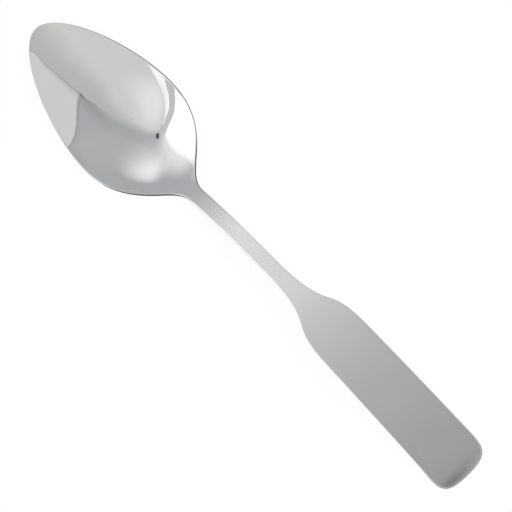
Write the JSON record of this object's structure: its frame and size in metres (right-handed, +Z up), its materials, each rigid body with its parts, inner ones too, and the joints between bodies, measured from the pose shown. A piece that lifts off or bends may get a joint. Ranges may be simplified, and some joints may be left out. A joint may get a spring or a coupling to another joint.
{
  "type": "teaspoon",
  "caption": "Stainless-steel teaspoon: an egg-shaped mirror-polished bowl on a thin arched shank that widens into a flat paddle handle with a blunt rounded end.",
  "frame": {"origin": "on the table, under the middle of the spoon's length and width", "axes": "+X along the spoon from the bowl's tip to the handle's end, +Y across it, +Z up from the table"},
  "size_m": [0.156, 0.0316, 0.0126],
  "materials": {
    "bowl_steel": "mirror-polished stainless steel",
    "handle_steel": "satin stainless steel, grain along the handle"
  },
  "bodies": {
    "root": {"bowl": "bowl_steel", "shank": "handle_steel", "handle": "handle_steel"}
  },
  "joints": []
}
